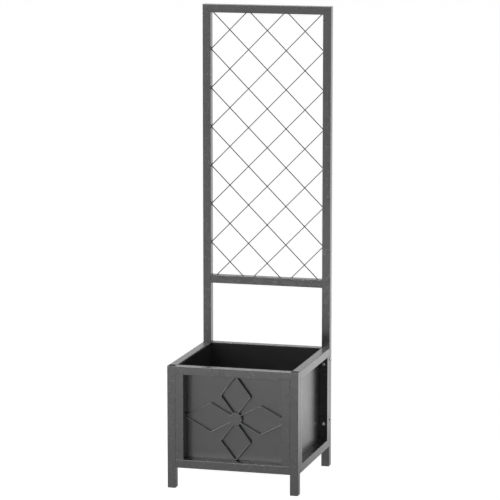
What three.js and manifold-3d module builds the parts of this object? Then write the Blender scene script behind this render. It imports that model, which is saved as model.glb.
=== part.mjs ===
// Garden planter with trellis, in millimetres, +Z up.
// The origin is on the ground, in the middle of the footprint. The front, with the flower,
// faces -Y, and the trellis stands at the rear, +Y.
//
// Construction: every wall of the box is a welded frame of square tube with a steel sheet.
// A flower of flat bar stands on the front sheet. The front frame is welded to two short
// legs. The rear frame and the two side frames are bolted to the legs through their stiles.
// The rear legs run on upwards as the trellis's uprights, and a welded net of round wire
// fills the trellis.

import * as THREE from "three";
import { mergeVertices } from "three/addons/utils/BufferGeometryUtils.js";
import Module from "manifold-3d";

const wasm = await Module();
wasm.setup();

// ---------------------------------------------------------------- driving dimensions

// Whole object
const WIDTH = 404;               // over the legs, left to right
const DEPTH = 410;               // over the legs, front to back
const HEIGHT = 1422;             // ground to the top of the trellis
const BOX_TOP = 373;             // ground to the planter's rim
const BOX_BASE = 63;             // ground to the underside of the bottom rails
const TRELLIS_BASE = 560;        // ground to the underside of the trellis's bottom rail

// Square tube
const TUBE = 25;                 // outside
const TUBE_WALL = 1.5;
const TUBE_CORNER = 1.2;         // outside corner radius
const SEAM = 0.1;                // hairline left at mitred and cut weld seams

// Sheet metal
const SHEET = 1;                 // wall panels and front tray
const SHEET_MARGIN = 3;          // panels stop short of the frames' outer edges
const RECESS = 48;               // front face of the frame to the front panel
const TRAY_LIP = 15;             // lip of the front tray on the frame's back
const TRAY_BEND = 1.2;           // corner radius of the tray in front view
const PANEL_GAP = 0.5;           // between panels that meet in a corner

// Floor
const FLOOR_SHEET = 1.2;
const FLOOR_LEVEL = 84;          // ground to the floor's top
const FLOOR_FLANGE = 12;         // turned-down edges at the front and the rear
const FLOOR_CLEAR = 0.6;         // between the floor and the walls
const LEDGE = 20;                // leg of the angle that carries the floor
const LEDGE_SHEET = 2;
const LEDGE_INSET = 30;          // the angles stop short of the frames' corners
const DRAIN_RADIUS = 5;
const DRAIN_PITCH = 95;
const DRAIN_ROWS = 3;
const FLOOR_CORNER = 2;          // corner radius
const FLANGE_GAP = 1;            // between the flanges' ends and the angles

// Flower on the front panel, of flat bar standing on edge round a slice of round bar
const BAR = 3;                   // thickness of the petals' flat bar
const BAR_DEPTH = 12;            // its width, from the panel forwards
const DISC_RADIUS = 19.5;
const DISC_DEPTH = 12;
const DISC_CHAMFER = 0.5;
const FLOWER_DROP = 4;           // flower's centre below the middle of the opening
const UPRIGHT_PETAL = [46.3, 68.8]; // widest point: half width, distance from the centre
const CROSS_PETAL = [44, 77];
const UPRIGHT_WAIST = 7.7;       // half the petal's width where its bar meets the disc
const CROSS_WAIST = 11.3;
const CROSS_TIP = 4.5;           // half the width where a cross petal's bars meet the wall
const TOP_TIP_GAP = 4;           // top petal's tip to the tray's wall
const PETAL_BEND = 5;            // bending radius at the petals' widest point
const TIP_BEND = 4;              // bending radius at the upright petals' tips
const BEND_STEPS = 4;

// Trellis net
const WIRE = 3;                  // diameter
const WIRE_PRESS = 0.6;          // how far crossing wires are pressed together when welded
const CELL = 119;                // about; whole cells are fitted across and up the trellis
const NET_OVER_SIDES = 1;        // the net's outermost crossings would lie this far outside
const NET_OVER_TOP = 7.8;        // the opening, where the net is cut off at the frame
const NET_OVER_BOTTOM = 17.8;

// Bolts: M6 button heads with threaded inserts in the tube behind the joint
const BOLT = 6;
const BOLT_HOLE = 6.5;
const BOLT_HEAD = 10.5;
const BOLT_HEAD_HEIGHT = 3.2;
const BOLT_HEAD_FLAT = 2.4;      // radius of the flat on the head's crown
const BOLT_HEAD_RIM = 0.6;       // straight height of the head's edge
const BOLT_POINT = 0.6;          // chamfer at the shank's end
const BOLT_SOCKET = 4;           // across flats
const BOLT_SOCKET_DEPTH = 1.9;
const BOLT_REACH = 6;            // thread past the wall that it screws into
const INSERT_WALL = 1.2;
const INSERT_LENGTH = 6.5;
const BOLT_HEIGHTS = [140, 328]; // side frames to legs
const BOLT_RISE = 8;             // rear frame's bolts pass this much higher

// Plastic inserts in the tubes' ends
const PLUG_CLEAR = 0.2;
const PLUG_DEPTH = 14;
const PLUG_HEAD = 2.4;
const CAP_SINK = 3;              // leg caps are pressed in below the rim
const PLUG_WALL = 1.6;
const PLUG_FIN = 1.1;            // thickness and setback of the gripping fins
const PLUG_FINS = [7.7, 11.9];   // far sides of the fins, from the head's top
const PLUG_CORNER = 0.7;
const FOOT_FLANGE = 1;           // part of a foot plug below the tube
const FOOT_SETBACK = 0.8;        // flange's edge inside the tube's outside

const ROUND_SIDES = 12;
const WIRE_SIDES = 8;
const DOME_STEPS = 3;
const CUT_PAST = 1;              // cutters run this far past what they cut

// ---------------------------------------------------------------- derived places

const halfW = WIDTH / 2;
const halfD = DEPTH / 2;
const legX = halfW - TUBE / 2;
const legY = halfD - TUBE / 2;
const innerX = halfW - TUBE;             // inside plane of the side frames
const innerY = halfD - TUBE;             // inside plane of the front and rear frames
const stileX = innerX - TUBE / 2;
const stileY = innerY - TUBE / 2;
const openX = innerX - TUBE;             // half width of the front opening
const openY = innerY - TUBE;             // half depth of the side openings
const openLow = BOX_BASE + TUBE;
const openHigh = BOX_TOP - TUBE;
const openMiddle = (openLow + openHigh) / 2;
const panelLow = BOX_BASE + SHEET_MARGIN;
const panelHigh = BOX_TOP - SHEET_MARGIN;
const trayFront = -halfD + RECESS;       // visible face of the front panel
const sides = [["left", -1], ["right", 1]];

// ---------------------------------------------------------------- materials

const coat = (name, color, roughness) =>
  new THREE.MeshStandardMaterial({ name, color, roughness, metalness: 0 });
const materials = {
  frame: () => coat("frame coat", 0x555555, 0.3),
  panel: () => coat("panel coat", 0x555555, 0.3),
  wire: () => coat("wire coat", 0x1a1a1b, 0.25),
  plastic: () => coat("black plastic", 0x141414, 0.55),
  bolt: () => new THREE.MeshStandardMaterial(
    { name: "zinc plating", color: 0xa9abae, roughness: 0.35, metalness: 1 }),
};

const planter = new THREE.Group();
planter.name = "planter_with_trellis";

function add(name, geometry, material, x = 0, y = 0, z = 0) {
  const mesh = new THREE.Mesh(geometry, materials[material]());
  mesh.name = name;
  mesh.position.set(x, y, z);
  planter.add(mesh);
  return mesh;
}

// ---------------------------------------------------------------- solid helpers

function toSolid(geometry) {
  const bare = geometry.clone();
  bare.deleteAttribute("normal");
  bare.deleteAttribute("uv");
  const merged = mergeVertices(bare, 1e-4);
  return new wasm.Manifold(new wasm.Mesh({
    numProp: 3,
    vertProperties: new Float32Array(merged.attributes.position.array),
    triVerts: new Uint32Array(merged.index.array),
  }));
}

function toGeometry(solid) {
  const mesh = solid.getMesh();
  const geometry = new THREE.BufferGeometry();
  geometry.setAttribute("position", new THREE.BufferAttribute(mesh.vertProperties, 3));
  geometry.setIndex(new THREE.BufferAttribute(mesh.triVerts, 1));
  return geometry;
}

const join = (solids) => solids.reduce((whole, piece) => whole.add(piece));
const cut = (solid, tools) => tools.reduce((rest, tool) => rest.subtract(tool), solid);

// Rectangle with rounded corners, as a closed outline round the origin.
function roundedOutline(Kind, width, height, radius) {
  const x = width / 2;
  const y = height / 2;
  const corners = [[x, y, 0], [-x, y, 1], [-x, -y, 2], [x, -y, 3]];
  const outline = new Kind();
  for (const [cx, cy, quarter] of corners) {
    const start = quarter * Math.PI / 2;
    const middleX = cx - Math.sign(cx) * radius;
    const middleY = cy - Math.sign(cy) * radius;
    outline.absarc(middleX, middleY, radius, start, start + Math.PI / 2, false);
  }
  outline.closePath();
  return outline;
}

// Plate lying on z = 0 and standing `thickness` high.
function plate(width, height, thickness, radius, curveSegments = 2) {
  const outline = roundedOutline(THREE.Shape, width, height, radius);
  return new THREE.ExtrudeGeometry(outline, { depth: thickness, bevelEnabled: false, curveSegments });
}

const boxSolid = (x, y, z, at = [0, 0, 0]) => toSolid(new THREE.BoxGeometry(x, y, z).translate(...at));

// Cylinder about the X, Y or Z axis, centred on `at`.
function rodSolid(radius, length, axis, at = [0, 0, 0], segments = ROUND_SIDES) {
  const geometry = new THREE.CylinderGeometry(radius, radius, length, segments);
  if (axis === "x") geometry.rotateZ(Math.PI / 2);
  if (axis === "z") geometry.rotateX(Math.PI / 2);
  return toSolid(geometry.translate(...at));
}

// ---------------------------------------------------------------- square tube

// Hollow square tube standing on z = 0. `mitre` cuts its top at 45 degrees, falling
// towards -X (-1) or towards +X (+1).
function tube(length, mitre = 0) {
  const section = roundedOutline(THREE.Shape, TUBE, TUBE, TUBE_CORNER);
  const bore = TUBE - 2 * TUBE_WALL;
  section.holes.push(new THREE.Path([[-1, -1], [-1, 1], [1, 1], [1, -1]].map(
    ([x, y]) => new THREE.Vector2(x * bore / 2, y * bore / 2))));
  const geometry = new THREE.ExtrudeGeometry(section, { depth: length, bevelEnabled: false, curveSegments: 3 });
  if (mitre !== 0) {
    const position = geometry.attributes.position;
    for (let i = 0; i < position.count; i += 1) {
      if (position.getZ(i) > length / 2) {
        position.setZ(i, length - TUBE / 2 + mitre * position.getX(i));
      }
    }
  }
  return geometry;
}

const alongX = (geometry, length) => geometry.rotateY(Math.PI / 2).translate(-length / 2, 0, 0);
const alongY = (geometry, length) => geometry.rotateX(-Math.PI / 2).translate(0, -length / 2, 0);

// Holes for a bolt that passes across a standing tube. `axis` is "x" or "y", `towards` the
// side that the bolt's head is on. A bolt screws into a threaded insert, which is pressed
// into the wall on the head's side.
function drillTube(solid, { z, axis, towards, insert }) {
  const reach = TUBE / 2;
  const place = (offset) => (axis === "x" ? [offset, 0, z] : [0, offset, z]);
  if (!insert) {
    return solid.subtract(rodSolid(BOLT_HOLE / 2, TUBE + 2 * CUT_PAST, axis, place(0)));
  }
  const start = towards * (reach - TUBE_WALL / 2);
  const end = towards * (reach - TUBE_WALL - INSERT_LENGTH);
  const sleeve = rodSolid(BOLT_HOLE / 2 + INSERT_WALL, Math.abs(start - end), axis, place((start + end) / 2));
  const hole = rodSolid(BOLT_HOLE / 2, INSERT_LENGTH + TUBE_WALL + 2 * CUT_PAST, axis,
    place(towards * (reach - (INSERT_LENGTH + TUBE_WALL) / 2)));
  return solid.add(sleeve).subtract(hole);
}

const drilled = (geometry, holes) => toGeometry(holes.reduce(drillTube, toSolid(geometry)));

// ---------------------------------------------------------------- legs and uprights

const rearBoltHeights = BOLT_HEIGHTS.map((z) => z + BOLT_RISE);
const legLength = BOX_TOP - FOOT_FLANGE;
const uprightLength = HEIGHT - FOOT_FLANGE;

for (const [side, s] of sides) {
  const sideInserts = (towards) => BOLT_HEIGHTS.map(
    (z) => ({ z: z - FOOT_FLANGE, axis: "y", towards, insert: true }));
  add(`front_leg_${side}`, drilled(tube(legLength), sideInserts(1)), "frame",
    s * legX, -legY, FOOT_FLANGE);

  const through = rearBoltHeights.map((z) => ({ z: z - FOOT_FLANGE, axis: "x", insert: false }));
  add(`rear_upright_${side}`, drilled(tube(uprightLength, s), [...sideInserts(-1), ...through]),
    "frame", s * legX, legY, FOOT_FLANGE);
}

// ---------------------------------------------------------------- front and rear frames

const railLength = 2 * innerX;
const stileLength = openHigh - openLow;

for (const [level, z] of [["bottom", BOX_BASE], ["top", openHigh]]) {
  for (const [wall, y] of [["front", -legY], ["rear", legY]]) {
    add(`${wall}_rail_${level}`, alongX(tube(railLength), railLength), "frame", 0, y, z + TUBE / 2);
  }
}
for (const [side, s] of sides) {
  add(`front_stile_${side}`, tube(stileLength), "frame", s * stileX, -legY, openLow);
  const inserts = rearBoltHeights.map((z) => ({ z: z - openLow, axis: "x", towards: s, insert: true }));
  add(`rear_stile_${side}`, drilled(tube(stileLength), inserts), "frame", s * stileX, legY, openLow);
}

// ---------------------------------------------------------------- side frames

const sideRailLength = 2 * innerY;

for (const [side, s] of sides) {
  for (const [level, z] of [["bottom", BOX_BASE], ["top", openHigh]]) {
    add(`${side}_rail_${level}`, alongY(tube(sideRailLength), sideRailLength), "frame",
      s * legX, 0, z + TUBE / 2);
  }
  for (const [end, e] of [["front", -1], ["rear", 1]]) {
    const holes = BOLT_HEIGHTS.map((z) => ({ z: z - openLow, axis: "y", insert: false }));
    add(`${side}_stile_${end}`, drilled(tube(stileLength), holes), "frame", s * legX, e * stileY, openLow);
  }
}

// ---------------------------------------------------------------- wall panels

const panelHeight = panelHigh - panelLow;

// The side panels lie on the insides of the side frames, from the front frame to the rear
// panel, which lies on the inside of the rear frame.
const sidePanelStart = -innerY + PANEL_GAP;
const sidePanelEnd = innerY - SHEET - PANEL_GAP;
for (const [side, s] of sides) {
  const sheet = new THREE.BoxGeometry(SHEET, sidePanelEnd - sidePanelStart, panelHeight);
  add(`${side}_panel`, sheet, "panel", s * (innerX - SHEET / 2), (sidePanelStart + sidePanelEnd) / 2,
    (panelLow + panelHigh) / 2);
}
const rearPanelWidth = 2 * (innerX - PANEL_GAP);
add("rear_panel", new THREE.BoxGeometry(rearPanelWidth, SHEET, panelHeight), "panel",
  0, innerY - SHEET / 2, (panelLow + panelHigh) / 2);

// The front panel is a tray: a back sheet, four walls that carry the opening's sides on
// backwards, and a lip welded to the back of the front frame.
function frontTray() {
  const width = 2 * openX;
  const height = openHigh - openLow;
  const depth = trayFront + SHEET - (-innerY);
  const outer = plate(width + 2 * SHEET, height + 2 * SHEET, depth, TRAY_BEND + SHEET);
  const inner = plate(width, height, depth, TRAY_BEND).translate(0, 0, -SHEET);
  const lip = plate(width + 2 * TRAY_LIP, height + 2 * TRAY_LIP, SHEET, TRAY_BEND);
  return toGeometry(toSolid(lip).add(toSolid(outer)).subtract(toSolid(inner))).rotateX(-Math.PI / 2);
}
add("front_panel", frontTray(), "panel", 0, -innerY, openMiddle);

// ---------------------------------------------------------------- floor and its angles

const floorTop = FLOOR_LEVEL;
const ledgeTop = floorTop - FLOOR_SHEET;
const ledgeLength = 2 * (innerY - LEDGE_INSET);

for (const [side, s] of sides) {
  const profile = new THREE.Shape([
    [0, 0], [LEDGE_SHEET, 0], [LEDGE_SHEET, LEDGE - LEDGE_SHEET], [LEDGE, LEDGE - LEDGE_SHEET],
    [LEDGE, LEDGE], [0, LEDGE],
  ].map(([x, y]) => new THREE.Vector2(s < 0 ? x : -x, y)));
  const angle = new THREE.ExtrudeGeometry(profile, { depth: ledgeLength, bevelEnabled: false });
  angle.rotateX(Math.PI / 2).translate(0, ledgeLength / 2, 0);
  add(`floor_angle_${side}`, angle, "panel", s * (innerX - SHEET), 0, ledgeTop - LEDGE);
}

function floorPan() {
  const front = trayFront + SHEET + FLOOR_CLEAR;
  const rear = innerY - SHEET - FLOOR_CLEAR;
  const width = 2 * (innerX - SHEET - FLOOR_CLEAR);
  const length = rear - front;
  const middle = (front + rear) / 2;
  const flangeWidth = width - 2 * (LEDGE + FLANGE_GAP);
  const top = toSolid(plate(width, length, FLOOR_SHEET, FLOOR_CORNER).translate(0, middle, -FLOOR_SHEET));
  const flanges = [front + FLOOR_SHEET / 2, rear - FLOOR_SHEET / 2].map(
    (y) => boxSolid(flangeWidth, FLOOR_SHEET, FLOOR_FLANGE, [0, y, -FLOOR_FLANGE / 2]));
  const holes = [];
  for (let i = 0; i < DRAIN_ROWS * DRAIN_ROWS; i += 1) {
    const column = (i % DRAIN_ROWS) - (DRAIN_ROWS - 1) / 2;
    const row = Math.floor(i / DRAIN_ROWS) - (DRAIN_ROWS - 1) / 2;
    holes.push(rodSolid(DRAIN_RADIUS, 4 * FLOOR_SHEET, "z", [column * DRAIN_PITCH, middle + row * DRAIN_PITCH, 0]));
  }
  return toGeometry(cut(join([top, ...flanges]), holes));
}
add("floor_pan", floorPan(), "panel", 0, 0, floorTop);

// ---------------------------------------------------------------- trellis

const trellisLow = TRELLIS_BASE + TUBE;
const trellisHigh = HEIGHT - TUBE;

add("trellis_rail_bottom", alongX(tube(railLength), railLength), "frame", 0, legY, TRELLIS_BASE + TUBE / 2);

// The top rail is mitred into the uprights, and its seams keep a hairline.
function mitredRail() {
  const section = tube(WIDTH);
  const slope = section.attributes.position;
  for (let i = 0; i < slope.count; i += 1) {
    const fromTop = TUBE / 2 + slope.getX(i);
    const inset = SEAM * Math.SQRT2 + fromTop;
    slope.setZ(i, slope.getZ(i) > WIDTH / 2 ? WIDTH - inset : inset);
  }
  return alongX(section, WIDTH);
}
add("trellis_rail_top", mitredRail(), "frame", 0, legY, HEIGHT - TUBE / 2);

// Net of two layers of parallel wires, pressed together where they cross and cut to fit
// inside the frame. Every wire runs corner to corner through diamond-shaped cells.
function trellisNet() {
  const width = railLength + 2 * NET_OVER_SIDES;
  const bottom = trellisLow - NET_OVER_BOTTOM;
  const height = trellisHigh + NET_OVER_TOP - bottom;
  const across = Math.round(width / CELL);
  const up = Math.round(height / CELL);
  const cellHeight = height / up;
  const rise = cellHeight / (width / across);
  const angle = Math.atan(rise);
  const reach = Math.hypot(width, rise * width) + 4 * WIRE;
  const flatRadius = (WIRE / 2) / Math.cos(Math.PI / WIRE_SIDES);
  const layer = (WIRE - WIRE_PRESS) / 2;
  const wires = [];
  for (const [direction, y] of [[-1, -layer], [1, layer]]) {
    for (let i = 1; i < across + up; i += 1) {
      const wire = new THREE.CylinderGeometry(flatRadius, flatRadius, reach, WIRE_SIDES);
      wire.rotateY(Math.PI / WIRE_SIDES).rotateX(Math.PI / 2).rotateY(direction * (Math.PI / 2 - angle));
      wires.push(toSolid(wire.translate(0, y, bottom + (i - across / 2) * cellHeight)));
    }
  }
  const fit = boxSolid(railLength - 2 * SEAM, TUBE, trellisHigh - trellisLow - 2 * SEAM,
    [0, 0, (trellisLow + trellisHigh) / 2]);
  return toGeometry(join(wires).intersect(fit));
}
add("trellis_net", trellisNet(), "wire", 0, legY, 0);

// ---------------------------------------------------------------- flower

const flowerZ = openMiddle - FLOWER_DROP;
const flowerY = trayFront - SEAM;        // what the flower stands on
const reachX = openX - SEAM;             // bars of the cross petals end at the tray's walls

// Flat bar on edge, bent along corners in the XZ plane. It stands in front of y = 0. Its
// outline runs half a thickness to both sides of the bar's middle, with an arc at each bend.
function bentBar(corners, radii) {
  const points = corners.map(([x, z]) => new THREE.Vector2(x, z));
  const along = points.slice(1).map((point, i) => point.clone().sub(points[i]).normalize());
  const stations = [[points[0], along[0]]];
  radii.forEach((radius, i) => {
    const turn = Math.atan2(along[i].cross(along[i + 1]), along[i].dot(along[i + 1]));
    const setback = radius * Math.tan(Math.abs(turn) / 2);
    const start = points[i + 1].clone().addScaledVector(along[i], -setback);
    const inward = new THREE.Vector2(-along[i].y, along[i].x).multiplyScalar(Math.sign(turn));
    const centre = start.clone().addScaledVector(inward, radius);
    for (let k = 0; k <= BEND_STEPS; k += 1) {
      const part = turn * k / BEND_STEPS;
      const way = along[i].clone().rotateAround(new THREE.Vector2(), part);
      stations.push([start.clone().rotateAround(centre, part), way]);
    }
  });
  stations.push([points.at(-1), along.at(-1)]);
  const side = (offset) => stations.map(([point, way]) => new THREE.Vector2(
    point.x - offset * way.y, point.y + offset * way.x));
  const outline = new THREE.Shape([...side(BAR / 2), ...side(-BAR / 2).reverse()]);
  const bar = new THREE.ExtrudeGeometry(outline, { depth: BAR_DEPTH, bevelEnabled: false });
  return toSolid(bar.rotateX(Math.PI / 2));
}

// End of a bar towards the disc, across and along its petal. The bar runs on past the
// disc's edge, and is then cut off a seam away from it.
function innerEnd([half, out], waist) {
  const edge = new THREE.Vector2(waist, Math.sqrt(DISC_RADIUS ** 2 - waist ** 2));
  const inward = edge.clone().sub(new THREE.Vector2(half, out)).setLength(2 * BAR);
  return edge.add(inward).toArray();
}
const discRoom = rodSolid(DISC_RADIUS + SEAM, 3 * BAR_DEPTH, "y", [0, 0, 0], 2 * ROUND_SIDES);

// Upright petals: one bar each, bent to a closed tip.
const uprights = [
  ["top", 1, openHigh - flowerZ - TOP_TIP_GAP],
  ["bottom", -1, flowerZ - openLow - SEAM],
];
for (const [name, s, room] of uprights) {
  const [half, out] = UPRIGHT_PETAL;
  const slope = Math.hypot(half, room - out) / half;
  const tip = room - BAR / 2 + TIP_BEND * (slope - 1);
  const [across, start] = innerEnd(UPRIGHT_PETAL, UPRIGHT_WAIST);
  const bar = bentBar([
    [-across, s * start], [-half, s * out], [0, s * tip], [half, s * out], [across, s * start],
  ], [PETAL_BEND, TIP_BEND, PETAL_BEND]);
  add(`petal_${name}`, toGeometry(bar.subtract(discRoom)), "frame", 0, flowerY, flowerZ);
}

// Cross petals: two bars each, which end apart at the tray's walls.
for (const [side, s] of sides) {
  const [half, out] = CROSS_PETAL;
  const fall = (half - CROSS_TIP) / (reachX - out);
  const [across, start] = innerEnd(CROSS_PETAL, CROSS_WAIST);
  const room = boxSolid(2 * reachX, 3 * BAR_DEPTH, 4 * half);
  for (const [level, v] of [["upper", 1], ["lower", -1]]) {
    const bar = bentBar([
      [s * start, v * across], [s * out, v * half], [s * (reachX + BAR), v * (CROSS_TIP - fall * BAR)],
    ], [PETAL_BEND]);
    add(`petal_${side}_${level}`, toGeometry(bar.subtract(discRoom).intersect(room)), "frame",
      0, flowerY, flowerZ);
  }
}

// Disc in the middle, with the bars' ends welded round it.
const discProfile = [
  [0, 0], [DISC_RADIUS, 0], [DISC_RADIUS, DISC_DEPTH - DISC_CHAMFER], [DISC_RADIUS - DISC_CHAMFER, DISC_DEPTH],
  [0, DISC_DEPTH],
].map(([x, y]) => new THREE.Vector2(x, y));
add("flower_disc", new THREE.LatheGeometry(discProfile, 2 * ROUND_SIDES).rotateX(Math.PI), "frame",
  0, flowerY, flowerZ);

// ---------------------------------------------------------------- bolts

// Button-head bolt along +Z: the head's flat underside lies on z = 0 and its shank points
// down. The head is a low dome with a hexagon socket.
function bolt(length) {
  const dome = [];
  const headRadius = BOLT_HEAD / 2;
  for (let i = 0; i <= DOME_STEPS; i += 1) {
    const angle = i / DOME_STEPS * Math.PI / 2;
    dome.push([BOLT_HEAD_FLAT + (headRadius - BOLT_HEAD_FLAT) * Math.cos(angle),
      BOLT_HEAD_RIM + (BOLT_HEAD_HEIGHT - BOLT_HEAD_RIM) * Math.sin(angle)]);
  }
  const profile = [
    [0, -length], [BOLT / 2 - BOLT_POINT, -length], [BOLT / 2, -length + BOLT_POINT], [BOLT / 2, 0],
    [headRadius, 0], ...dome, [0, BOLT_HEAD_HEIGHT],
  ].map(([x, y]) => new THREE.Vector2(x, y));
  const body = toSolid(new THREE.LatheGeometry(profile, ROUND_SIDES).rotateX(Math.PI / 2));
  const corner = BOLT_SOCKET / 2 / Math.cos(Math.PI / 6);
  const socket = toSolid(new THREE.CylinderGeometry(corner, corner, 2 * BOLT_SOCKET_DEPTH, 6)
    .rotateX(Math.PI / 2).translate(0, 0, BOLT_HEAD_HEIGHT));
  return toGeometry(body.subtract(socket));
}

const boltLength = TUBE + TUBE_WALL + BOLT_REACH;
for (const [side, s] of sides) {
  BOLT_HEIGHTS.forEach((z, i) => {
    const level = i === 0 ? "lower" : "upper";
    for (const [end, e] of [["front", -1], ["rear", 1]]) {
      add(`${side}_bolt_${end}_${level}`, bolt(boltLength).rotateX(e * Math.PI / 2), "bolt",
        s * legX, e * openY, z);
    }
    add(`rear_bolt_${side}_${level}`, bolt(boltLength).rotateY(s * Math.PI / 2), "bolt",
      s * halfW, legY, z + BOLT_RISE);
  });
}

// ---------------------------------------------------------------- plugs in the tubes' ends

// Hollow insert with gripping fins, its head's top on z = 0. A foot plug's head stands
// `flange` out of the tube on a wider rim.
function plug(flange) {
  const bore = TUBE - 2 * TUBE_WALL - 2 * PLUG_CLEAR;
  const core = bore - 2 * PLUG_FIN;
  const parts = [
    toSolid(plate(core, core, PLUG_DEPTH, PLUG_CORNER, 1).translate(0, 0, -flange - PLUG_DEPTH)),
    toSolid(plate(bore, bore, PLUG_HEAD, PLUG_CORNER, 1).translate(0, 0, -flange - PLUG_HEAD)),
  ];
  for (const fin of PLUG_FINS) {
    parts.push(toSolid(plate(bore, bore, PLUG_FIN, PLUG_CORNER, 1).translate(0, 0, -flange - fin)));
  }
  if (flange > 0) {
    const rim = TUBE - 2 * FOOT_SETBACK;
    parts.push(toSolid(plate(rim, rim, flange, TUBE_CORNER).translate(0, 0, -flange)));
  }
  const hollow = core - 2 * PLUG_WALL;
  const space = boxSolid(hollow, hollow, PLUG_DEPTH, [0, 0, -flange - PLUG_HEAD - PLUG_DEPTH / 2]);
  return toGeometry(join(parts).subtract(space));
}

for (const [side, s] of sides) {
  add(`leg_cap_${side}`, plug(0), "plastic", s * legX, -legY, BOX_TOP - CAP_SINK);
  add(`foot_front_${side}`, plug(FOOT_FLANGE).rotateX(Math.PI), "plastic", s * legX, -legY, 0);
  add(`foot_rear_${side}`, plug(FOOT_FLANGE).rotateX(Math.PI), "plastic", s * legX, legY, 0);
}

export default planter;
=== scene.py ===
"""Planter with trellis: a square steel box on legs, a flower of flat bar and a tall wire net.

Everything is in metres in the object's own frame: +Z up, the front towards -Y, the origin
on the ground under the middle of the box. Each new surface is a grid of points worked out
as one array, and each function's docstring gives its formula.
"""
import math

import bpy
import numpy as np
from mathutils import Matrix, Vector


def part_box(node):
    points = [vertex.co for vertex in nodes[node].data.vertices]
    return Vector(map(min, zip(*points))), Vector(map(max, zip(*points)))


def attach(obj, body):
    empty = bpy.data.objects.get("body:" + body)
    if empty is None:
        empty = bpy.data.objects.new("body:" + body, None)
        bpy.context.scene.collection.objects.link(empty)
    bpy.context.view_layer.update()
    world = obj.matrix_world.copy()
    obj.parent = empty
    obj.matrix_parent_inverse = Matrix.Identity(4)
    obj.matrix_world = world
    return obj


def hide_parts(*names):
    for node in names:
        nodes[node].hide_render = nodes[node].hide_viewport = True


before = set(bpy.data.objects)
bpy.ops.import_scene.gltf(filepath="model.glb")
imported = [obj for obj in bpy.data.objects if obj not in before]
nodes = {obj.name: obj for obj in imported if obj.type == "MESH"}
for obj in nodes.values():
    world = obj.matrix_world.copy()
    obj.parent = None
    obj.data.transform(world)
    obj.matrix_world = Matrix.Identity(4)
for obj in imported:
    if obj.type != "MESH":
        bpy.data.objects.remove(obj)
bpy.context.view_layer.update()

# ------------------------------------------------------------------ sizes, in metres

# Square tube
TUBE_RADIUS = 0.0012        # outside corners
TUBE_WALL = 0.0015
BORE_RADIUS = 0.0008        # inside corners
TUBE_EASE = 0.0003          # bevel round a cut end's outer edge
CORNER_STEPS = 6

# Flower: flat bar on edge in the front frame's opening
OPEN_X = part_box("front_stile_right")[0][0]
OPEN_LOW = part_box("front_rail_bottom")[1][2]
OPEN_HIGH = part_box("front_rail_top")[0][2]
DISC_LOW, DISC_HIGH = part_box("flower_disc")
FLOWER_Z = (DISC_LOW[2] + DISC_HIGH[2]) / 2
FLOWER_FRONT, FLOWER_BACK = DISC_LOW[1], DISC_HIGH[1]
BAR = 0.003                 # thickness
BAR_DEPTH = 0.012           # the disc is as deep
BAR_EDGE = 0.0012           # rolled, nearly half-round edges
BAR_EDGE_STEPS = 4
DISC_RADIUS = 0.0195
DISC_EDGE = 0.0008
DISC_EDGE_STEPS = 4
DISC_SIDES = 64
SEAM = 0.0001               # a bar stops this far from what it meets
PETAL_BEND = 0.005          # bending radius at a petal's widest point
TIP_BEND = 0.004
UPRIGHT_HALF, UPRIGHT_OUT = 0.0463, 0.0688  # widest point: half the width, and how far out
UPRIGHT_WAIST = 0.0077      # half the width between the bars' middles at the disc
TOP_TIP_GAP = 0.004         # from the top petal's tip to the opening's top
CROSS_HALF, CROSS_OUT = 0.044, 0.077
CROSS_WAIST = 0.0113
CROSS_TIP = 0.0045          # half the width between the bars' middles at the opening's side

# Trellis net
NET_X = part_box("rear_upright_right")[0][0]
NET_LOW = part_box("trellis_rail_bottom")[1][2]
NET_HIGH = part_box("trellis_rail_top")[0][2]
NET_Y = (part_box("trellis_net")[0][1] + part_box("trellis_net")[1][1]) / 2
CELLS_ACROSS, CELLS_UP = 3, 7
NET_OVER_SIDES = 0.001      # the outermost crossings would lie this far outside the opening
NET_OVER_TOP = 0.0078
NET_OVER_BOTTOM = 0.0178
NET_LAYER = 0.0012          # from the net's middle to a layer's: the wires are pressed together
WIRE_RADIUS = 0.0015
WIRE_SIDES = 14
WIRE_END = ((0.0, 0.6), (0.07, 0.92), (0.1, 1.0))   # way in from the end and radius, in wire radii
TACK = 0.0032               # weld spots at the wires' ends
TACK_FLAT, TACK_DEEP = 0.45, 0.8    # height and depth, as shares of the length along the rail
TACK_OFF_RAIL = 0.0004
TACK_POLE = 0.06            # share of the half turn that is left flat at each pole
TACK_ROWS, TACK_SIDES = 6, 14

# Bolts: M6 button heads with a hexagon socket
HEAD_RADIUS = 0.00525
HEAD_HEIGHT = 0.0032
HEAD_FLAT = 0.0024          # radius of the flat on the crown
HEAD_RIM = 0.0006           # straight height of the edge
HEAD_EDGE = 0.0002
DOME_STEPS = 8
SHANK_RADIUS = 0.003
SHANK_LENGTH = 0.0325
SHANK_POINT = 0.0006        # chamfer at the end
SOCKET = 0.002              # half the width across flats
SOCKET_DEPTH = 0.0019
SOCKET_EDGE = 0.0001
POINT_RADIUS, POINT_DEPTH = 0.0004, 0.0006      # hollow that the drill leaves below the socket
BOLT_SIDES = 48

# Plugs: the widths are half widths, and the heights count from the top of the head
PLUG_FIT = 0.0108           # head and fins, just clear of the tube's bore
PLUG_CORE = 0.0097
PLUG_WALL = 0.0016
PLUG_DEPTH = 0.014
PLUG_HEAD = 0.0024
FIN = 0.0011                # thickness
FINS = (0.0088, 0.0055)     # near sides
CORE_CORNER, HEAD_CORNER, HOLLOW_CORNER = 0.001, 0.0011, 0.0006
CAP_EASE = 0.0004           # bevel round a cap's top
FOOT_FLANGE = 0.001         # part of a foot below the tube
FLANGE_FIT = 0.0117
FLANGE_CORNER = 0.0018
FLANGE_EASE = 0.0003
EASED_CORNER = 0.0002       # a corner's radius shrinks by this over a bevel


# ------------------------------------------------------------------ materials

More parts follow.
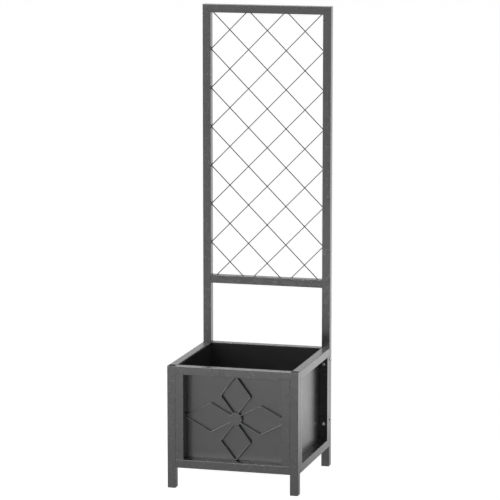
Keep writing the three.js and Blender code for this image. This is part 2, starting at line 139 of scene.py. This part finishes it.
NOISE_SPREAD = {"From Min": 0.3, "From Max": 0.7}   # nearly all of a noise lies in this range


def linear(code):
    """sRGB hex colour to linear RGBA."""
    values = [int(code[i:i + 2], 16) / 255 for i in (1, 3, 5)]
    return (*[v / 12.92 if v <= 0.04045 else ((v + 0.055) / 1.055) ** 2.4 for v in values], 1.0)


def per_metre(size_mm):
    """Scale of a noise whose features are about size_mm across."""
    return 1000.0 / size_mm


def empty_tree(owner):
    """Node tree of a new material or world, without the nodes it starts with."""
    owner.use_nodes = True
    owner.node_tree.nodes.clear()
    return owner.node_tree


def add(tree, kind, inputs=None, **settings):
    """Adds a node. inputs maps a socket to a value or to the output that feeds it."""
    node = tree.nodes.new(kind)
    for key, value in settings.items():
        setattr(node, key, value)
    for key, value in (inputs or {}).items():
        if isinstance(value, bpy.types.NodeSocket):
            tree.links.new(value, node.inputs[key])
        else:
            node.inputs[key].default_value = value
    return node


def powder_coat(name, shade, deep_shade, gloss, peel_um=1.5):
    """Polyester powder sprayed on dry and baked: it flows out to a soft orange peel about
    2 mm across, and lies a little thicker and darker in some places than in others, with a
    slightly uneven gloss."""
    coat = bpy.data.materials.new(name)
    tree = empty_tree(coat)
    place = add(tree, "ShaderNodeTexCoord").outputs["Object"]
    layer = add(tree, "ShaderNodeTexNoise", {
        "Vector": place, "Scale": per_metre(90.0), "Detail": 3.0, "Roughness": 0.5})
    thickness = add(tree, "ShaderNodeMapRange", {
        **NOISE_SPREAD, "Value": layer.outputs["Fac"], "To Min": 0.0, "To Max": 1.0})
    colour = add(tree, "ShaderNodeMixRGB", {
        "Fac": thickness.outputs["Result"], "Color1": linear(shade), "Color2": linear(deep_shade)})
    peel = add(tree, "ShaderNodeTexNoise", {
        "Vector": place, "Scale": per_metre(2.2), "Detail": 1.0, "Roughness": 0.5})
    normal = add(tree, "ShaderNodeBump", {
        "Height": peel.outputs["Fac"], "Distance": peel_um * 1e-6, "Strength": 1.0})
    flow = add(tree, "ShaderNodeTexNoise", {
        "Vector": place, "Scale": per_metre(35.0), "Detail": 2.0, "Roughness": 0.5})
    rough = add(tree, "ShaderNodeMapRange", {
        **NOISE_SPREAD, "Value": flow.outputs["Fac"], "To Min": gloss - 0.012, "To Max": gloss + 0.012})
    surface = add(tree, "ShaderNodeBsdfPrincipled", {
        "Base Color": colour.outputs["Color"], "Roughness": rough.outputs["Result"], "IOR": 1.6,
        "Normal": normal.outputs["Normal"]})
    add(tree, "ShaderNodeOutputMaterial", {"Surface": surface.outputs["BSDF"]})
    return coat


def bore_shade():
    """Painted shade inside the tube's opening: the bore's near-black colour stands in for the
    shade down inside the tube, with a browner and rougher tone in random patches."""
    bore_material = bpy.data.materials.new("painted shade inside the tube")
    tree = empty_tree(bore_material)
    place = add(tree, "ShaderNodeTexCoord").outputs["Object"]
    patches = add(tree, "ShaderNodeTexNoise", {
        "Vector": place, "Scale": per_metre(14.0), "Detail": 4.0, "Roughness": 0.5})
    patch_tone = add(tree, "ShaderNodeMapRange", {
        **NOISE_SPREAD, "Value": patches.outputs["Fac"], "To Min": 0.0, "To Max": 1.0})
    colour = add(tree, "ShaderNodeMixRGB", {
        "Fac": patch_tone.outputs["Result"], "Color1": linear("#1d1d20"), "Color2": linear("#2a2826")})
    rough = add(tree, "ShaderNodeMapRange", {
        **NOISE_SPREAD, "Value": patches.outputs["Fac"], "To Min": 0.5, "To Max": 0.75})
    surface = add(tree, "ShaderNodeBsdfPrincipled", {
        "Base Color": colour.outputs["Color"], "Roughness": rough.outputs["Result"], "IOR": 1.5})
    add(tree, "ShaderNodeOutputMaterial", {"Surface": surface.outputs["BSDF"]})
    return bore_material


def moulded_plastic():
    """Black polyethylene pressed in a spark-eroded mould: an even, fine satin grain."""
    plastic = bpy.data.materials.new("moulded black plastic")
    tree = empty_tree(plastic)
    place = add(tree, "ShaderNodeTexCoord").outputs["Object"]
    grain = add(tree, "ShaderNodeTexNoise", {
        "Vector": place, "Scale": per_metre(0.5), "Detail": 3.0, "Roughness": 0.6})
    normal = add(tree, "ShaderNodeBump", {
        "Height": grain.outputs["Fac"], "Distance": 20e-6, "Strength": 1.0})
    satin = add(tree, "ShaderNodeTexNoise", {
        "Vector": place, "Scale": per_metre(6.0), "Detail": 2.0, "Roughness": 0.5})
    rough = add(tree, "ShaderNodeMapRange", {
        **NOISE_SPREAD, "Value": satin.outputs["Fac"], "To Min": 0.42, "To Max": 0.5})
    surface = add(tree, "ShaderNodeBsdfPrincipled", {
        "Base Color": linear("#131313"), "Roughness": rough.outputs["Result"], "IOR": 1.49,
        "Normal": normal.outputs["Normal"]})
    add(tree, "ShaderNodeOutputMaterial", {"Surface": surface.outputs["BSDF"]})
    return plastic


def zinc_plate():
    """Bright zinc plating on a cold-headed bolt: fine random scuffs from tumbling."""
    zinc = bpy.data.materials.new("zinc plated steel")
    tree = empty_tree(zinc)
    place = add(tree, "ShaderNodeTexCoord").outputs["Object"]
    scuff = add(tree, "ShaderNodeTexNoise", {
        "Vector": place, "Scale": per_metre(0.8), "Detail": 6.0, "Roughness": 0.7})
    rough = add(tree, "ShaderNodeMapRange", {
        **NOISE_SPREAD, "Value": scuff.outputs["Fac"], "To Min": 0.24, "To Max": 0.4})
    dents = add(tree, "ShaderNodeTexNoise", {
        "Vector": place, "Scale": per_metre(0.3), "Detail": 3.0, "Roughness": 0.5})
    normal = add(tree, "ShaderNodeBump", {
        "Height": dents.outputs["Fac"], "Distance": 1.5e-6, "Strength": 1.0})
    surface = add(tree, "ShaderNodeBsdfPrincipled", {
        "Base Color": linear("#c4c6c8"), "Metallic": 1.0, "Roughness": rough.outputs["Result"],
        "Normal": normal.outputs["Normal"]})
    add(tree, "ShaderNodeOutputMaterial", {"Surface": surface.outputs["BSDF"]})
    return zinc


GREY, DEEP_GREY = "#565656", "#545455"
FRAME_COAT = powder_coat("powder coat on tube", GREY, DEEP_GREY, 0.27)
SHEET_COAT = powder_coat("powder coat on sheet", GREY, DEEP_GREY, 0.26, 2.0)
BAR_COAT = powder_coat("powder coat on flat bar", GREY, DEEP_GREY, 0.25)
WIRE_COAT = powder_coat("black coat on wire", "#0e0e0f", "#0c0c0d", 0.3, 1.0)
# painted shade: a near-black material for the bore of every tube, standing in for the shade inside
SHADED_BORE = bore_shade()
PLASTIC = moulded_plastic()
ZINC = zinc_plate()


# ------------------------------------------------------------------ making surfaces

def mesh_object(name, surface, material, smooth_deg):
    """Object in the scene from a surface's points and faces, smooth below smooth_deg."""
    points, faces = surface
    mesh = bpy.data.meshes.new(name)
    mesh.from_pydata(points.tolist(), [], faces)
    mesh.validate()
    mesh.shade_smooth()
    mesh.set_sharp_from_angle(angle=math.radians(smooth_deg))
    mesh.materials.append(material)
    obj = bpy.data.objects.new(name, mesh)
    bpy.context.scene.collection.objects.link(obj)
    return obj


def build(name, surface, material, stands_for=(), smooth_deg=40.0):
    """Piece of the planter, riding on the frame. Its flat faces stay flat next to their
    rounded corners."""
    obj = mesh_object(name, surface, material, smooth_deg)
    flat_faces = obj.modifiers.new("flat faces", "WEIGHTED_NORMAL")
    flat_faces.mode = "FACE_AREA"
    flat_faces.keep_sharp = True
    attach(obj, "root")
    if stands_for:
        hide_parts(*stands_for)
    return obj


def merge(surfaces):
    """Several surfaces as one."""
    start, faces = 0, []
    for points, own_faces in surfaces:
        faces += [[start + i for i in face] for face in own_faces]
        start += len(points)
    return np.concatenate([points for points, _ in surfaces]), faces


def grid_of(*coordinates):
    """Grid of points from arrays of their x, y and z, which spread over rows and columns."""
    return np.stack(np.broadcast_arrays(*coordinates), axis=-1)


def loft(grid, closed=False):
    """Skin over a grid whose rows are rings of points: face (i, j) joins points j and j + 1
    of rings i and i + 1. With closed, the last ring joins the first, and otherwise a face
    closes each end."""
    rings, count = grid.shape[:2]
    row = np.arange(rings if closed else rings - 1)[:, None]
    near, far = row * count, (row + 1) % rings * count
    j = np.arange(count)
    k = (j + 1) % count
    faces = grid_of(near + j, near + k, far + k, far + j).reshape(-1, 4).tolist()
    if not closed:
        faces.append(list(range(count))[::-1])
        faces.append(list(range((rings - 1) * count, rings * count)))
    return grid.reshape(-1, 3), faces


def rounded_section(wide, deep, radius, steps=CORNER_STEPS):
    """Rectangle of half sizes wide and deep with round corners, anticlockwise: corner c at
    angle t is (su (wide - r) + r cos t, sv (deep - r) + r sin t), with t from 90 c to
    90 (c + 1) degrees."""
    t = math.pi / 2 * (np.arange(4)[:, None] + np.arange(steps + 1) / steps)
    su, sv = np.array([(1, -1, -1, 1), (1, 1, -1, -1)])[:, :, None]
    u = su * (wide - radius) + radius * np.cos(t)
    v = sv * (deep - radius) + radius * np.sin(t)
    return grid_of(u, v).reshape(-1, 2)


def all_round(sides):
    """Angles of a ring's points, as a column."""
    return 2 * math.pi * np.arange(sides)[:, None] / sides


def lathe(profile, origin, axis, sides, hexagon=()):
    """Turned solid about a level axis A: P(h, t) = O + h A + r (cos t U + sin t V). Profile
    rows are (r, h). The rows listed in hexagon follow a hexagon with r to its flats."""
    axis = np.array(axis, float)
    across = np.cross(axis, (0, 0, 1))
    across /= np.linalg.norm(across)
    up = np.cross(axis, across)
    t = all_round(sides)
    radius, height = np.array(profile).T[:, :, None, None]
    radius = np.repeat(radius, sides, axis=1)
    for row in hexagon:
        radius[row] /= np.cos((t + math.pi / 6) % (math.pi / 3) - math.pi / 6)
    return loft(origin + height * axis + radius * (np.cos(t) * across + np.sin(t) * up))


def bend(corners, radii, step_deg=6.0):
    """Path with rounded corners. At corner i the arc of radius r starts r tan(turn / 2)
    before the corner and follows M - r cos a S + r sin a D, with M its middle, D the way in
    and S the side that it turns to."""
    corners = np.array(corners, float)
    stretches = [corners[:1]]
    for before, corner, after, radius in zip(corners, corners[1:], corners[2:], radii):
        way_in = (corner - before) / np.linalg.norm(corner - before)
        way_out = (after - corner) / np.linalg.norm(after - corner)
        turn = math.acos(way_in @ way_out)
        side = way_out - way_in * (way_in @ way_out)
        side /= np.linalg.norm(side)
        middle = corner - way_in * radius * math.tan(turn / 2) + side * radius
        steps = max(2, int(turn / math.radians(step_deg)))
        a = turn * np.arange(steps + 1)[:, None] / steps
        stretches.append(middle - side * radius * np.cos(a) + way_in * radius * np.sin(a))
    return np.concatenate([*stretches, corners[-1:]])


# ------------------------------------------------------------------ square tubes

def square_tube(node, cut_low=(0.0, 0.0), cut_high=(0.0, 0.0)):
    """Hollow square tube in a CAD node's place: P(u, v, w) = C + u U + v V + w W with (u, v)
    on a rounded square. The skin runs up the outside, over the end and down the bore.
    cut_low and cut_high give an end's slant, (du, dv): w moves by du u + dv v."""
    low, high = (np.array(corner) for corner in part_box(node))
    size = high - low
    along = int(np.argmax(size))
    directions = np.eye(3)[[(along + 1) % 3, (along + 2) % 3, along]]
    half = size.min() / 2
    outer = rounded_section(half, half, TUBE_RADIUS)
    eased = rounded_section(half - TUBE_EASE, half - TUBE_EASE, TUBE_RADIUS - TUBE_EASE)
    inner = rounded_section(half - TUBE_WALL, half - TUBE_WALL, BORE_RADIUS)

    def ring(section, end, cut, back):
        w = end * (size[along] / 2 - back - half * np.abs(cut).sum()) + section @ cut
        return (low + high) / 2 + np.column_stack([section, w]) @ directions

    rings = [
        ring(outer, -1, cut_low, TUBE_EASE), ring(outer, 1, cut_high, TUBE_EASE),
        ring(eased, 1, cut_high, 0), ring(inner, 1, cut_high, 0),
        ring(inner, -1, cut_low, 0), ring(eased, -1, cut_low, 0),
    ]
    tube = build(f"{node}_tube", loft(np.array(rings), closed=True), FRAME_COAT, [node])
    # The bore's faces get the painted shade: a near-black colour for the shade down inside the tube
    tube.data.materials.append(SHADED_BORE)
    bore = 3 * len(outer)       # first face between the two inner rings
    for face in tube.data.polygons[bore:bore + len(outer)]:
        face.material_index = 1


MITRED = {
    "rear_upright_left": {"cut_high": (-1.0, 0.0)},
    "rear_upright_right": {"cut_high": (1.0, 0.0)},
    "trellis_rail_top": {"cut_low": (0.0, -1.0), "cut_high": (0.0, 1.0)},
}
for node in [n for n in nodes if "rail" in n or "stile" in n or n.startswith("front_leg")]:
    if node not in MITRED:
        square_tube(node)
for node, cuts in MITRED.items():
    square_tube(node, **cuts)

# ------------------------------------------------------------------ sheets and angles

for node, obj in nodes.items():
    if node.endswith("panel") or node.startswith("floor_"):
        obj.data.materials.clear()
        obj.data.materials.append(SHEET_COAT)


# ------------------------------------------------------------------ flower of flat bar

def to_disc(points, way):
    """Points run on along way to the disc's edge: |P + s way| = R."""
    b = points @ way
    square = b ** 2 - (points ** 2).sum(axis=1) + (DISC_RADIUS + SEAM) ** 2
    return points + (np.copysign(np.sqrt(square), b) - b)[:, None] * way


def to_side(points, way):
    """Points run on along way to the side of the front frame's opening."""
    s = (math.copysign(OPEN_X - SEAM, way[0]) - points[:, 0]) / way[0]
    return points + s[:, None] * way


def petal_bar(name, corners, radii, cut_end):
    """Flat bar bent on edge: P(s, j) = C(s) + n_j N(s) + y_j Y, with C in the flower's plane
    and N across it. It starts at the disc's edge, and cut_end cuts its other end."""
    path = bend(corners, radii)
    i = np.arange(len(path))
    ways = path[np.minimum(i + 1, i[-1])] - path[np.maximum(i - 1, 0)]
    ways /= np.linalg.norm(ways, axis=1)[:, None]
    across = np.column_stack([ways[:, 1], -ways[:, 0]])
    section = rounded_section(BAR / 2, BAR_DEPTH / 2, BAR_EDGE, BAR_EDGE_STEPS)
    flat = path[:, None] + section[:, :1] * across[:, None]
    flat[0] = to_disc(flat[0], ways[0])
    flat[-1] = cut_end(flat[-1], ways[-1])
    depth = (FLOWER_FRONT + FLOWER_BACK) / 2 + section[:, 1]
    build(f"{name}_bar", loft(grid_of(flat[..., 0], depth, FLOWER_Z + flat[..., 1])), BAR_COAT, [name])


def beside_disc(waist):
    """How far out a bar meets the disc's edge, where it is waist away from its petal's middle."""
    return math.sqrt(DISC_RADIUS ** 2 - waist ** 2)


def upright_petals():
    """One bar each: from the disc to the widest point, round the tip and back to the disc."""
    start = beside_disc(UPRIGHT_WAIST)
    rooms = {"top": (1, OPEN_HIGH - FLOWER_Z - TOP_TIP_GAP), "bottom": (-1, FLOWER_Z - OPEN_LOW - SEAM)}
    for side, (up, room) in rooms.items():
        sharpness = math.hypot(UPRIGHT_HALF, room - UPRIGHT_OUT) / UPRIGHT_HALF
        tip = room - BAR / 2 + TIP_BEND * (sharpness - 1)   # where the bend's two sides would meet
        corners = [
            (-UPRIGHT_WAIST, up * start), (-UPRIGHT_HALF, up * UPRIGHT_OUT), (0, up * tip),
            (UPRIGHT_HALF, up * UPRIGHT_OUT), (UPRIGHT_WAIST, up * start),
        ]
        petal_bar(f"petal_{side}", corners, [PETAL_BEND, TIP_BEND, PETAL_BEND], to_disc)


def cross_petals():
    """Two bars each: from the disc over the widest point to the opening's side."""
    start = beside_disc(CROSS_WAIST)
    for side, out in (("left", -1), ("right", 1)):
        for level, up in (("upper", 1), ("lower", -1)):
            corners = [
                (out * start, up * CROSS_WAIST), (out * CROSS_OUT, up * CROSS_HALF),
                (out * (OPEN_X - SEAM), up * CROSS_TIP),
            ]
            petal_bar(f"petal_{side}_{level}", corners, [PETAL_BEND], to_side)


def flower_disc():
    """Slice of round bar, bevelled behind. Its front edge follows r = R - e + e cos a,
    h = D - e + e sin a."""
    a = math.pi / 2 * np.arange(DISC_EDGE_STEPS + 1) / DISC_EDGE_STEPS
    edge = np.column_stack([DISC_RADIUS - DISC_EDGE + DISC_EDGE * np.cos(a),
                            BAR_DEPTH - DISC_EDGE + DISC_EDGE * np.sin(a)])
    profile = [(DISC_RADIUS - DISC_EDGE, 0.0), (DISC_RADIUS, DISC_EDGE), *edge]
    surface = lathe(profile, (0, FLOWER_BACK, FLOWER_Z), (0, -1, 0), DISC_SIDES)
    build("flower_disc_slice", surface, BAR_COAT, ["flower_disc"])


upright_petals()
cross_petals()
flower_disc()


# ------------------------------------------------------------------ trellis net

def wire_runs():
    """Ends of every wire, cut where it meets the frame. Each wire runs corner to corner
    through the net's cells, z = z0 + slope x, and the two layers lean opposite ways."""
    cell_width = 2 * (NET_X + NET_OVER_SIDES) / CELLS_ACROSS
    cell_height = (NET_HIGH + NET_OVER_TOP - NET_LOW + NET_OVER_BOTTOM) / CELLS_UP
    rise = cell_height / cell_width
    runs = []
    for slope, y in ((-rise, NET_Y - NET_LAYER), (rise, NET_Y + NET_LAYER)):
        for i in range(1, CELLS_ACROSS + CELLS_UP):
            z0 = NET_LOW - NET_OVER_BOTTOM + (i - CELLS_ACROSS / 2) * cell_height
            crossings = sorted(((NET_LOW - z0) / slope, (NET_HIGH - z0) / slope))
            runs.append([(x, y, z0 + slope * x) for x in np.clip(crossings, -NET_X, NET_X)])
    return runs


def wire(low, high):
    """Straight round wire with slightly domed ends: P(h, t) = C(h) + r(h) (cos t N + sin t Y),
    with N across the wire in the net's plane."""
    low, high = np.array(low), np.array(high)
    along = (high - low) / np.linalg.norm(high - low)
    deep = np.array((0.0, 1.0, 0.0))
    t = all_round(WIRE_SIDES)
    circle = WIRE_RADIUS * (np.cos(t) * np.cross(deep, along) + np.sin(t) * deep)
    way_in, share = np.array(WIRE_END).T[:, :, None]
    middles = np.concatenate([low + along * way_in * WIRE_RADIUS,
                              (high - along * way_in * WIRE_RADIUS)[::-1]])
    shares = np.concatenate([share, share[::-1]])
    return loft(middles[:, None] + shares[:, None] * circle)


def weld_spot(x, y, z):
    """Weld spot where a wire meets the frame, flattened on the upright or rail that it lies
    on: a squashed ball, P(a, t) = C + r (sx sin a cos t, sy sin a sin t, -sz cos a)."""
    if math.isclose(abs(x), NET_X):
        x -= math.copysign(TACK_OFF_RAIL, x)
        stretch = (TACK_FLAT, TACK_DEEP, 1.0)
    else:
        z -= math.copysign(TACK_OFF_RAIL, z - (NET_LOW + NET_HIGH) / 2)
        stretch = (1.0, TACK_DEEP, TACK_FLAT)
    rows = np.arange(TACK_ROWS + 1)[:, None] / TACK_ROWS
    a = math.pi * (TACK_POLE + (1 - 2 * TACK_POLE) * rows)
    t = all_round(TACK_SIDES).T
    ball = grid_of(np.sin(a) * np.cos(t), np.sin(a) * np.sin(t), -np.cos(a))
    return loft(np.array((x, y, z)) + ball * stretch * TACK)


runs = wire_runs()
build("trellis_net_wires", merge([wire(*ends) for ends in runs]), WIRE_COAT, ["trellis_net"], 50.0)
build("net_weld_spots", merge([weld_spot(*end) for ends in runs for end in ends]), WIRE_COAT, (), 60.0)


# ------------------------------------------------------------------ bolts

def bolt(node):
    """Button head on a chamfered shank, with a hexagon socket. The head's dome follows
    r = F + (R - F) cos a, h = rim + (H - rim) sin a. A side frame's bolt has its head towards
    the middle of the box's depth, and a rear frame's bolt has its head outside."""
    low, high = (np.array(corner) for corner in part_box(node))
    seat = (low + high) / 2
    along = int(np.argmax(high - low))
    outwards = math.copysign(1.0, seat[along])
    axis = np.zeros(3)
    axis[along] = -outwards if along == 1 else outwards
    crown = high if axis[along] > 0 else low
    seat[along] = crown[along] - axis[along] * HEAD_HEIGHT

    a = math.pi / 2 * np.arange(DOME_STEPS + 1) / DOME_STEPS
    dome = np.column_stack([HEAD_FLAT + (HEAD_RADIUS - HEAD_FLAT) * np.cos(a),
                            HEAD_RIM + (HEAD_HEIGHT - HEAD_RIM) * np.sin(a)])
    profile = [
        (SHANK_RADIUS - SHANK_POINT, -SHANK_LENGTH), (SHANK_RADIUS, -SHANK_LENGTH + SHANK_POINT),
        (SHANK_RADIUS, 0.0), (HEAD_RADIUS - HEAD_EDGE, 0.0), (HEAD_RADIUS, HEAD_EDGE), *dome,
    ]
    first = len(profile)
    floor = HEAD_HEIGHT - SOCKET_DEPTH
    profile += [
        (SOCKET + SOCKET_EDGE, HEAD_HEIGHT), (SOCKET, HEAD_HEIGHT - SOCKET_EDGE), (SOCKET, floor),
        (POINT_RADIUS, floor - POINT_DEPTH),
    ]
    surface = lathe(profile, seat, axis, BOLT_SIDES, hexagon=(first, first + 1, first + 2))
    build(f"{node}_screw", surface, ZINC, [node], 35.0)


for node in [n for n in nodes if "bolt" in n]:
    bolt(node)


# ------------------------------------------------------------------ plugs

def plug(node):
    """Hollow insert: stacked rounded squares, P = C + (u, v, w), from the hollow's floor out
    to the fins, the head and, on a foot, the flange. A foot is turned upside down."""
    low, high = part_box(node)
    is_foot = node.startswith("foot")
    up = -1 if is_foot else 1
    top = low[2] + FOOT_FLANGE if is_foot else high[2]

    # Half width, height and corner radius
    hollow = PLUG_CORE - PLUG_WALL
    rows = [(hollow, -PLUG_HEAD, HOLLOW_CORNER), (hollow, -PLUG_DEPTH, HOLLOW_CORNER),
            (PLUG_CORE, -PLUG_DEPTH, CORE_CORNER)]
    for fin in FINS:
        rows += [(PLUG_CORE, -fin - FIN, CORE_CORNER), (PLUG_FIT, -fin - FIN, CORE_CORNER),
                 (PLUG_FIT, -fin, CORE_CORNER), (PLUG_CORE, -fin, CORE_CORNER)]
    rows += [(PLUG_CORE, -PLUG_HEAD, CORE_CORNER), (PLUG_FIT, -PLUG_HEAD, HEAD_CORNER)]
    if is_foot:
        rows += [(PLUG_FIT, 0.0, HEAD_CORNER), (FLANGE_FIT, 0.0, FLANGE_CORNER),
                 (FLANGE_FIT, FOOT_FLANGE - FLANGE_EASE, FLANGE_CORNER),
                 (FLANGE_FIT - FLANGE_EASE, FOOT_FLANGE, FLANGE_CORNER - EASED_CORNER)]
    else:
        rows += [(PLUG_FIT, -CAP_EASE, HEAD_CORNER),
                 (PLUG_FIT - CAP_EASE, 0.0, HEAD_CORNER - EASED_CORNER)]

    sections = np.array([rounded_section(half, half, radius) for half, _, radius in rows])
    heights = np.array([height for _, height, _ in rows])[:, None]
    middle = ((low[0] + high[0]) / 2, (low[1] + high[1]) / 2, top)
    grid = middle + grid_of(sections[..., 0], up * sections[..., 1], up * heights)
    build(f"{node}_insert", loft(grid), PLASTIC, [node], 35.0)


for node in [n for n in nodes if n.startswith(("leg_cap", "foot"))]:
    plug(node)

# ------------------------------------------------------------------ floor and world

FLOOR_SIZE = 30.0                       # from the middle to an edge
SEEN_FLOOR = 0.965                      # glow for the camera; the lamps' light makes it white
LIT_FLOOR = 0.5                         # grey of the floor for light that bounces off it
BACK_FLOOR, ROOM_FLOOR = 1.5, 0.5       # glow for the gloss, behind the object and in front
FLOOR_FADE = (-0.1, 1.0)                # y over which one changes into the other

BACKDROP, ROOM = 0.95, 0.25             # as the gloss mirrors them
BACKDROP_FADE = (-0.5, 0.3)             # y of the direction over which they change
OVERHEAD = 6.0                          # lamp that only the gloss mirrors
UPPER_LEFT = (-0.60, -0.35, 0.72)       # the way to it
OVERHEAD_FADE = (0.35, 0.85)            # its soft edge
AMBIENT = 0.03                          # weak even light on the object
WHITE = (1, 1, 1, 1)


def studio_floor():
    """White studio floor. It takes the lamps' light and the object's shadow, and glows a
    little for what is seen or mirrored in it, less in front, where the room is dark."""
    white = bpy.data.materials.new("studio floor")
    tree = empty_tree(white)
    ray = add(tree, "ShaderNodeLightPath")
    place = add(tree, "ShaderNodeNewGeometry").outputs["Position"]
    along = add(tree, "ShaderNodeSeparateXYZ", {"Vector": place}).outputs["Y"]
    mirrored = add(tree, "ShaderNodeMapRange", {
        "Value": along, "From Min": FLOOR_FADE[0], "From Max": FLOOR_FADE[1],
        "To Min": ROOM_FLOOR, "To Max": BACK_FLOOR})
    by_gloss = add(tree, "ShaderNodeMath", {
        0: ray.outputs["Is Glossy Ray"], 1: mirrored.outputs["Result"]}, operation="MULTIPLY")
    glow = add(tree, "ShaderNodeMath", {
        0: ray.outputs["Is Camera Ray"], 1: SEEN_FLOOR, 2: by_gloss.outputs["Value"],
    }, operation="MULTIPLY_ADD")
    shade = add(tree, "ShaderNodeMix", {
        "Factor": ray.outputs["Is Camera Ray"], "A": LIT_FLOOR, "B": 1.0})
    lit = add(tree, "ShaderNodeBsdfDiffuse", {"Color": shade.outputs["Result"]})
    light = add(tree, "ShaderNodeEmission", {"Color": WHITE, "Strength": glow.outputs["Value"]})
    both = add(tree, "ShaderNodeAddShader", {0: lit.outputs["BSDF"], 1: light.outputs["Emission"]})
    add(tree, "ShaderNodeOutputMaterial", {"Surface": both.outputs["Shader"]})

    corners = FLOOR_SIZE * np.array([(-1, -1, 0), (1, -1, 0), (1, 1, 0), (-1, 1, 0)])
    plane = mesh_object("floor_plane", (corners, [[0, 1, 2, 3]]), white, 32.0)


def studio_world():
    """White backdrop behind the object and a dim room in front of it, as the gloss mirrors
    them, with a weak even light on the object."""
    world = bpy.data.worlds.new("studio")
    bpy.context.scene.world = world
    tree = empty_tree(world)
    ray = add(tree, "ShaderNodeLightPath")
    way = add(tree, "ShaderNodeTexCoord").outputs["Generated"]
    along = add(tree, "ShaderNodeSeparateXYZ", {"Vector": way}).outputs["Y"]
    backdrop = add(tree, "ShaderNodeMapRange", {
        "Value": along, "From Min": BACKDROP_FADE[0], "From Max": BACKDROP_FADE[1],
        "To Min": ROOM, "To Max": BACKDROP}, interpolation_type="SMOOTHSTEP")
    towards = add(tree, "ShaderNodeVectorMath", {0: way, 1: UPPER_LEFT}, operation="DOT_PRODUCT")
    overhead = add(tree, "ShaderNodeMapRange", {
        "Value": towards.outputs["Value"], "From Min": OVERHEAD_FADE[0], "From Max": OVERHEAD_FADE[1],
        "To Min": 0.0, "To Max": OVERHEAD}, interpolation_type="SMOOTHSTEP")
    mirrored = add(tree, "ShaderNodeMath", {
        0: backdrop.outputs["Result"], 1: overhead.outputs["Result"]}, operation="ADD")
    on_object = add(tree, "ShaderNodeMix", {
        "Factor": ray.outputs["Is Glossy Ray"], "A": AMBIENT, "B": mirrored.outputs["Value"]})
    level = add(tree, "ShaderNodeMix", {
        "Factor": ray.outputs["Is Camera Ray"], "A": on_object.outputs["Result"], "B": 1.0})
    glow = add(tree, "ShaderNodeBackground", {"Color": WHITE, "Strength": level.outputs["Result"]})
    add(tree, "ShaderNodeOutputWorld", {"Surface": glow.outputs["Background"]})


studio_floor()
studio_world()


# ------------------------------------------------------------------ lamps

def softbox(name, place, target, size, watts):
    """Rectangular lamp at place that faces target. Neither the camera nor the gloss sees it."""
    light = bpy.data.lights.new(name, "AREA")
    light.shape = "RECTANGLE"
    light.size, light.size_y = size
    light.energy = watts
    obj = bpy.data.objects.new(name, light)
    bpy.context.scene.collection.objects.link(obj)
    obj.location = place
    aim = np.array(target, float) - np.array(place, float)
    aim /= np.linalg.norm(aim)
    obj.rotation_euler = (math.acos(-aim[2]), 0.0, math.atan2(-aim[0], aim[1]))
    obj.visible_camera = False
    obj.visible_glossy = False


softbox("key softbox", place=(-2.6, -2.4, 4.2), target=(0, 0, 0.6), size=(1.8, 1.8), watts=20.0)
softbox("low front softbox", place=(-0.5, -3.0, 0.08), target=(0, 0, 0.25), size=(1.1, 0.14),
        watts=42.0)
softbox("floor bounce in front", place=(-0.4, -1.9, 0.02), target=(-0.4, -1.9, 1.0),
        size=(2.4, 2.6), watts=14.0)

# ------------------------------------------------------------------ camera of the photograph

SENSOR, LENS = 36.0, 204.66             # mm
CAMERA_PLACE = (2.242527, -8.145864, 2.093522)
CAMERA_DIP, CAMERA_TURN = 9.372, 15.404     # degrees below level, and left of straight ahead
CLIP = (0.1, 100.0)

camera = bpy.data.cameras.new("camera")
camera.sensor_width = SENSOR
camera.lens = LENS
camera.clip_start, camera.clip_end = CLIP
view = bpy.data.objects.new("camera", camera)
bpy.context.scene.collection.objects.link(view)
view.location = CAMERA_PLACE
view.rotation_euler = (math.radians(90 - CAMERA_DIP), 0.0, math.radians(CAMERA_TURN))
bpy.context.scene.camera = view

scene = bpy.context.scene
scene.view_settings.view_transform = "Standard"
